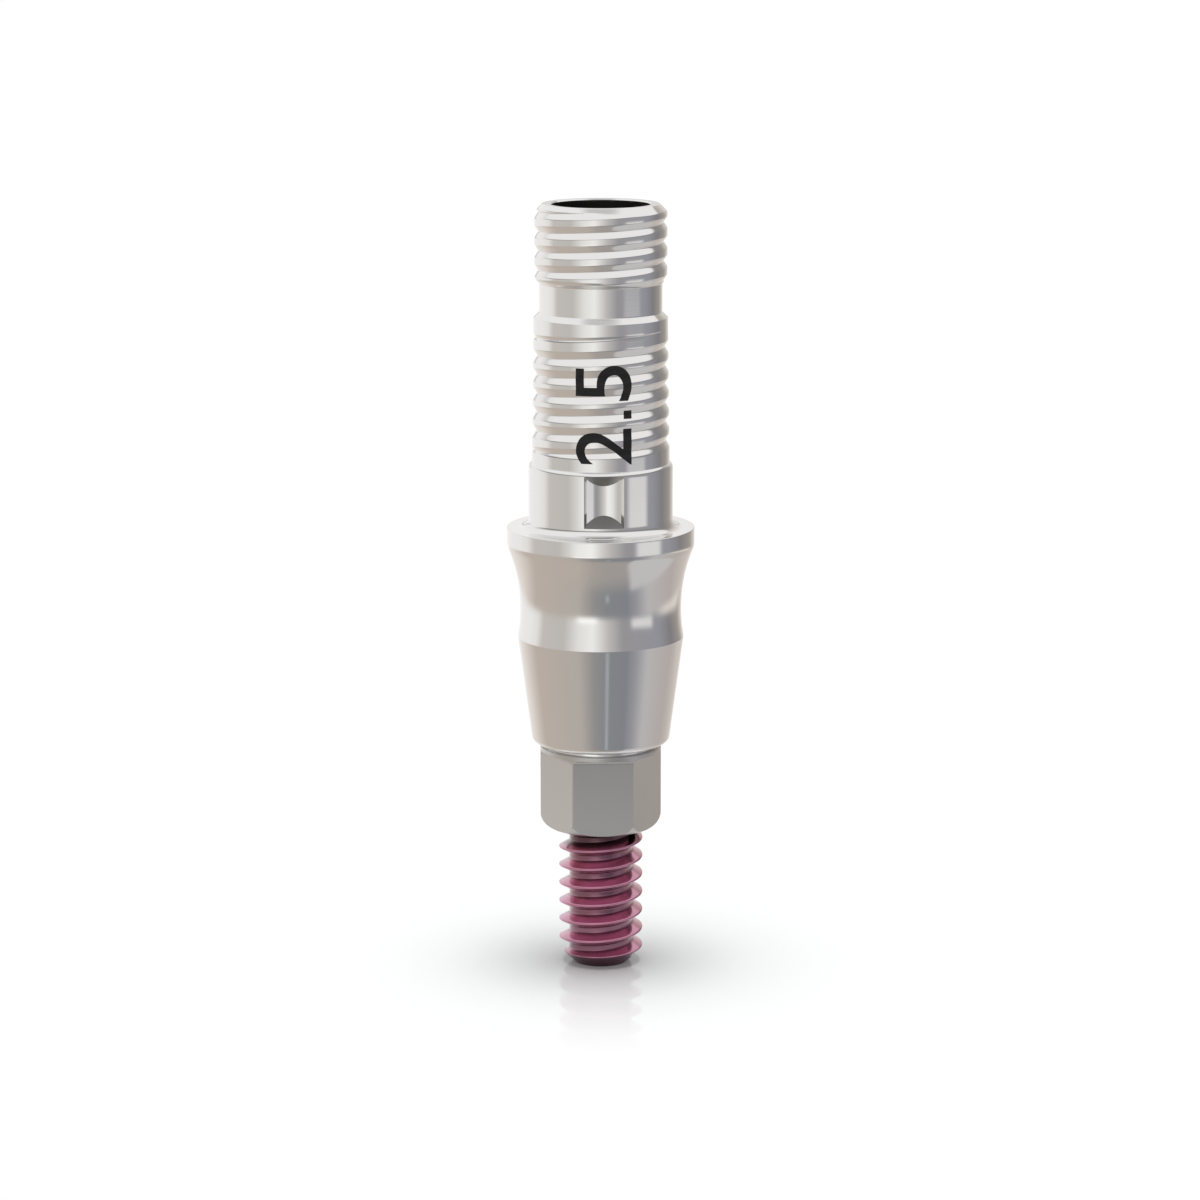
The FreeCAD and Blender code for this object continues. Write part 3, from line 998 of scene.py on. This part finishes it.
def flat_glyph(character, boldness):
    """One character as a flat mesh; the decimal point is a plain square."""
    leave_edit()
    if character == ".":
        bpy.ops.mesh.primitive_plane_add(size=1.0, location=(0, 0, 0))
        return bpy.context.object
    bpy.ops.object.text_add(location=(0, 0, 0))
    glyph = bpy.context.object
    glyph.data.body = character
    glyph.data.resolution_u = 12
    glyph.data.offset = boldness
    only(glyph)
    bpy.ops.object.convert(target="MESH")
    return bpy.context.object


def mark_material(tint):
    """Matt black laser mark whose oxide is a little uneven."""
    material = bpy.data.materials.new("Laser mark")
    material.use_nodes = True
    tree = material.node_tree
    shader = tree.nodes["Principled BSDF"]
    shader.inputs["Specular IOR Level"].default_value = 0.25
    place = node(tree, "ShaderNodeTexCoord", (-900, 0))
    grain = node(tree, "ShaderNodeTexNoise", (-700, 0))
    grain.inputs["Scale"].default_value = 12000.0
    tree.links.new(place.outputs["Object"], grain.inputs["Vector"])
    shade = node(tree, "ShaderNodeValToRGB", (-460, 80))
    shade.color_ramp.elements[0].color = (*tint, 1)
    shade.color_ramp.elements[1].color = (*(part * 2.2 for part in tint), 1)
    tree.links.new(grain.outputs["Fac"], shade.inputs[0])
    tree.links.new(shade.outputs["Color"], shader.inputs["Base Color"])
    rough = maths(tree, "ADD", (-260, -160), maths(tree, "MULTIPLY", (-460, -160), grain.outputs["Fac"], 0.3), 0.4)
    tree.links.new(rough, shader.inputs["Roughness"])
    return material


class ABUTMENT_OT_stage(bpy.types.Operator):
    """Lay the pale floor, set the soft studio light and place the camera"""

    bl_idname = "abutment.stage"
    bl_label = "Studio"

    def execute(self, context):
        floor_z = cad_box[0].z
        leave_edit()
        bpy.ops.mesh.primitive_plane_add(size=4.0, location=(0, 0, 0))
        floor = context.object
        floor.name = "floor"
        bpy.ops.object.mode_set(mode="EDIT")
        bpy.ops.mesh.select_all(action="SELECT")
        bpy.ops.transform.translate(value=(0, 0, floor_z))
        bpy.ops.object.mode_set(mode="OBJECT")
        floor.data.materials.append(floor_material())
        studio_world(context.scene)
        bpy.ops.object.light_add(type="SUN", location=(0, 0, 0.30))
        lamp = context.object
        lamp.name = "overhead_light"
        lamp.data.angle = math.radians(24)
        lamp.data.energy = 2.2
        lamp.visible_glossy = False
        place_camera(context)
        return {"FINISHED"}


def floor_material():
    """Plain white floor; near the part it is polished, so the screw's tip mirrors faintly."""
    material = bpy.data.materials.new("White floor")
    material.use_nodes = True
    tree = material.node_tree
    tree.nodes.clear()
    out = node(tree, "ShaderNodeOutputMaterial", (800, 0))
    matt = node(tree, "ShaderNodeBsdfDiffuse", (0, 100))
    matt.inputs["Color"].default_value = (0.93, 0.93, 0.93, 1)
    glow = node(tree, "ShaderNodeEmission", (0, -60))
    glow.inputs["Color"].default_value = (1, 1, 1, 1)
    path = node(tree, "ShaderNodeLightPath", (-400, -60))
    tree.links.new(maths(tree, "MULTIPLY", (-200, -60), path.outputs["Is Camera Ray"], 0.08), glow.inputs["Strength"])
    both = node(tree, "ShaderNodeAddShader", (200, 60))
    tree.links.new(matt.outputs[0], both.inputs[0])
    tree.links.new(glow.outputs[0], both.inputs[1])
    gloss = node(tree, "ShaderNodeBsdfGlossy", (200, -140))
    gloss.inputs["Color"].default_value = (0.80, 0.92, 0.90, 1)
    gloss.inputs["Roughness"].default_value = 0.03
    place = node(tree, "ShaderNodeTexCoord", (-800, -300))
    split = node(tree, "ShaderNodeVectorMath", (-600, -300), operation="MULTIPLY")
    split.inputs[1].default_value = (1, 1, 0)
    tree.links.new(place.outputs["Object"], split.inputs[0])
    span = node(tree, "ShaderNodeVectorMath", (-400, -300), operation="LENGTH")
    tree.links.new(split.outputs[0], span.inputs[0])
    reaches = []
    for k, (near, far, low, high) in enumerate(((0.003, 0.008, 0.16, 0.0), (0.0035, 0.0055, 0.0, 1.0))):
        reach = node(tree, "ShaderNodeMapRange", (-200, -300 - 280 * k), interpolation_type="SMOOTHSTEP")
        reach.inputs["From Min"].default_value = near
        reach.inputs["From Max"].default_value = far
        reach.inputs["To Min"].default_value = low
        reach.inputs["To Max"].default_value = high
        tree.links.new(span.outputs["Value"], reach.inputs["Value"])
        reaches.append(reach.outputs["Result"])
    mix = node(tree, "ShaderNodeMixShader", (400, 0))
    tree.links.new(reaches[0], mix.inputs[0])
    tree.links.new(both.outputs[0], mix.inputs[1])
    tree.links.new(gloss.outputs[0], mix.inputs[2])
    # Away from the tip the metal sees the pale table of the surroundings, not this floor
    clear = node(tree, "ShaderNodeBsdfTransparent", (400, -200))
    unseen = maths(tree, "MULTIPLY", (200, -400), reaches[1], path.outputs["Is Glossy Ray"])
    shown = node(tree, "ShaderNodeMixShader", (600, 0))
    tree.links.new(unseen, shown.inputs[0])
    tree.links.new(mix.outputs[0], shown.inputs[1])
    tree.links.new(clear.outputs[0], shown.inputs[2])
    tree.links.new(shown.outputs[0], out.inputs["Surface"])
    return material


def strips_round(tree, place, fraction, strips):
    """Upright strips of card round the horizon, each (bearing in degrees from the camera, colour)."""
    cards = node(tree, "ShaderNodeValToRGB", place)
    tree.links.new(fraction, cards.inputs[0])
    ramp = cards.color_ramp
    while len(ramp.elements) < len(strips):
        ramp.elements.new(0.5)
    for element, (degrees, tint) in zip(ramp.elements, strips):
        element.position = degrees / 360 + 0.5
        element.color = (*tint, 1)
    return cards.outputs["Color"]


def between(tree, place, value, low, high, soft):
    """A mask that is 1 between two values, with soft ends."""
    masks = []
    for k, (start, end) in enumerate(((low - soft, low + soft), (high + soft, high - soft))):
        edge = node(tree, "ShaderNodeMapRange", (place[0], place[1] - 260 * k), interpolation_type="SMOOTHSTEP")
        edge.inputs["From Min"].default_value = start
        edge.inputs["From Max"].default_value = end
        tree.links.new(value, edge.inputs["Value"])
        masks.append(edge.outputs["Result"])
    return maths(tree, "MULTIPLY", (place[0] + 180, place[1]), *masks)


def laid_over(tree, place, mask, under, tint):
    """Lay a colour, or another socket's colour, over what is there by the mask."""
    mix = node(tree, "ShaderNodeMix", place, data_type="RGBA")
    for socket, value in (("Factor", mask), ("A", under), ("B", tint)):
        if isinstance(value, (tuple, float)):
            mix.inputs[socket].default_value = (*value, 1) if isinstance(value, tuple) else value
        else:
            tree.links.new(value, mix.inputs[socket])
    return mix.outputs["Result"]


def studio_world(scene):
    """White surroundings; polished metal also sees cards, dark gaps and a pale table round the part."""
    world = bpy.data.worlds.new("Studio")
    scene.world = world
    world.use_nodes = True
    tree = world.node_tree
    tree.nodes.clear()
    out = node(tree, "ShaderNodeOutputWorld", (2600, 0))
    back = node(tree, "ShaderNodeBackground", (2400, 0))
    place = node(tree, "ShaderNodeTexCoord", (-1000, 0))
    split = node(tree, "ShaderNodeSeparateXYZ", (-800, 0))
    tree.links.new(place.outputs["Generated"], split.inputs[0])
    ahead = maths(tree, "MULTIPLY", (-600, -80), split.outputs[1], -1.0)
    bearing = maths(tree, "ARCTAN2", (-440, 0), split.outputs[0], ahead)
    fraction = maths(tree, "ADD", (-120, 0), maths(tree, "MULTIPLY", (-280, 0), bearing, 1 / TURN), 0.5)
    rise = split.outputs[2]
    level = strips_round(tree, (60, 0), fraction, (
        (-180, (1.0, 1.0, 1.0)),
        (-120, (1.0, 1.0, 0.99)),
        (-104, (0.94, 0.92, 0.90)),
        (-92, (0.66, 0.63, 0.60)),
        (-56, (0.62, 0.60, 0.57)),
        (-34, (0.92, 0.91, 0.89)),
        (-14, (1.05, 1.04, 1.02)),
        (8, (0.62, 0.60, 0.59)),
        (28, (0.38, 0.37, 0.39)),
        (86, (0.35, 0.36, 0.40)),
        (112, (0.26, 0.25, 0.26)),
        (138, (0.40, 0.37, 0.34)),
        (158, (0.75, 0.70, 0.65)),
        (180, (1.0, 1.0, 1.0)),
    ))
    table = strips_round(tree, (60, -300), fraction, (
        (-180, (0.95, 0.93, 0.90)),
        (-140, (0.86, 0.80, 0.74)),
        (-110, (0.60, 0.53, 0.47)),
        (-36, (0.54, 0.50, 0.46)),
        (-14, (0.35, 0.34, 0.34)),
        (4, (0.28, 0.30, 0.31)),
        (36, (0.27, 0.28, 0.31)),
        (52, (0.38, 0.38, 0.41)),
        (70, (0.58, 0.57, 0.57)),
        (115, (0.54, 0.49, 0.47)),
        (150, (0.68, 0.62, 0.57)),
        (180, (0.95, 0.93, 0.90)),
    ))
    down = between(tree, (360, -500), rise, -1.5, -0.25, 0.04)
    seen = laid_over(tree, (760, 0), down, level, table)
    steep = between(tree, (360, -900), rise, -1.5, -0.60, 0.12)
    steep = maths(tree, "MULTIPLY", (720, -900), steep, 0.5)
    seen = laid_over(tree, (920, 0), steep, seen, (0.58, 0.51, 0.45))
    # Cards: the bearings and rises between which each one stands, how soft it is, and its colour
    cards = (
        (42, 76, -0.235, -0.135, 0.08, (0.86, 0.86, 0.86)),
        (92, 142, -0.285, -0.225, 0.25, (0.86, 0.80, 0.74)),
        (-36, -8, -0.255, -0.20, 0.12, (1.3, 1.3, 1.29)),
        (4.5, 9.5, -0.51, -0.44, 0.02, (0.46, 0.49, 0.54)),
        (42, 130, -1.5, -0.54, 0.08, (0.64, 0.63, 0.63)),
        (-118, 128, 0.25, 0.43, 0.45, (0.28, 0.28, 0.28)),
        (150, 250, 0.03, 0.105, 0.20, (0.62, 0.62, 0.62)),
        (-250, -150, 0.03, 0.105, 0.20, (0.62, 0.62, 0.62)),
        (-250, 250, 0.50, 1.5, 0.10, (1.0, 1.0, 1.0)),
        (-250, 250, 0.96, 1.5, 0.10, (0.66, 0.66, 0.66)),
    )
    for k, (left, right, low, high, soft, tint) in enumerate(cards):
        sides = between(tree, (360, 400 + 600 * k), bearing, math.radians(left), math.radians(right), soft)
        heights = between(tree, (360, 680 + 600 * k), rise, low, high, 0.03)
        mask = maths(tree, "MULTIPLY", (760, 400 + 600 * k), sides, heights)
        seen = laid_over(tree, (1080 + 160 * k, 0), mask, seen, tint)
    path = node(tree, "ShaderNodeLightPath", (1600, 300))
    plain = laid_over(tree, (2040, 200), path.outputs["Is Camera Ray"], (0.3, 0.3, 0.3), (1.0, 1.0, 1.0))
    shown = laid_over(tree, (2220, 0), path.outputs["Is Glossy Ray"], plain, seen)
    tree.links.new(shown, back.inputs["Color"])
    tree.links.new(back.outputs[0], out.inputs[0])


def place_camera(context):
    """Long lens, a little above the part and turned a little to its left."""
    pitch = math.radians(11.4)
    bearing = math.radians(-2.7)
    distance = 89.833 * MM
    target = Vector((0, 0, 0.841 * MM))
    back = Vector((
        math.sin(bearing) * math.cos(pitch),
        -math.cos(bearing) * math.cos(pitch),
        math.sin(pitch),
    ))
    leave_edit()
    bpy.ops.object.camera_add(location=target + back * distance)
    camera = context.object
    camera.name = "photo_camera"
    camera.rotation_euler = (-back).to_track_quat("-Z", "Y").to_euler()
    camera.data.lens = 114.0
    camera.data.sensor_width = 36.0
    camera.data.clip_start = 0.002
    camera.data.clip_end = 20.0
    camera.data.shift_x = -0.0006
    camera.data.dof.use_dof = False
    context.scene.camera = camera


class ABUTMENT_PT_panel(bpy.types.Panel):
    """Sizes, finishes and build steps of the abutment"""

    bl_label = "Abutment"
    bl_idname = "ABUTMENT_PT_panel"
    bl_space_type = "VIEW_3D"
    bl_region_type = "UI"
    bl_category = "Abutment"

    def draw(self, context):
        layout = self.layout
        for label, group in (
            ("Body", context.scene.abutment_body),
            ("Screw", context.scene.abutment_screw),
            ("Mark", context.scene.abutment_mark),
            ("Finish", context.scene.abutment_finish),
        ):
            box = layout.box()
            box.label(text=label)
            for key in group.__annotations__:
                box.prop(group, key)
        for step in STEPS:
            layout.operator(step.bl_idname)


GROUPS = (
    (AbutmentBodySizes, "abutment_body"),
    (AbutmentScrewSizes, "abutment_screw"),
    (AbutmentMark, "abutment_mark"),
    (AbutmentFinish, "abutment_finish"),
)
STEPS = (ABUTMENT_OT_body, ABUTMENT_OT_screw, ABUTMENT_OT_mark, ABUTMENT_OT_stage)


def register():
    for group, name in GROUPS:
        bpy.utils.register_class(group)
        setattr(bpy.types.Scene, name, bpy.props.PointerProperty(type=group))
    for step in STEPS:
        bpy.utils.register_class(step)
    bpy.utils.register_class(ABUTMENT_PT_panel)


def unregister():
    bpy.utils.unregister_class(ABUTMENT_PT_panel)
    for step in reversed(STEPS):
        bpy.utils.unregister_class(step)
    for group, name in reversed(GROUPS):
        delattr(bpy.types.Scene, name)
        bpy.utils.unregister_class(group)


def main():
    register()
    scene = bpy.context.scene
    scene.view_settings.view_transform = "Standard"
    bpy.ops.abutment.body()
    bpy.ops.abutment.screw()
    bpy.ops.abutment.mark()
    bpy.ops.abutment.stage()


if __name__ == "__main__":
    main()
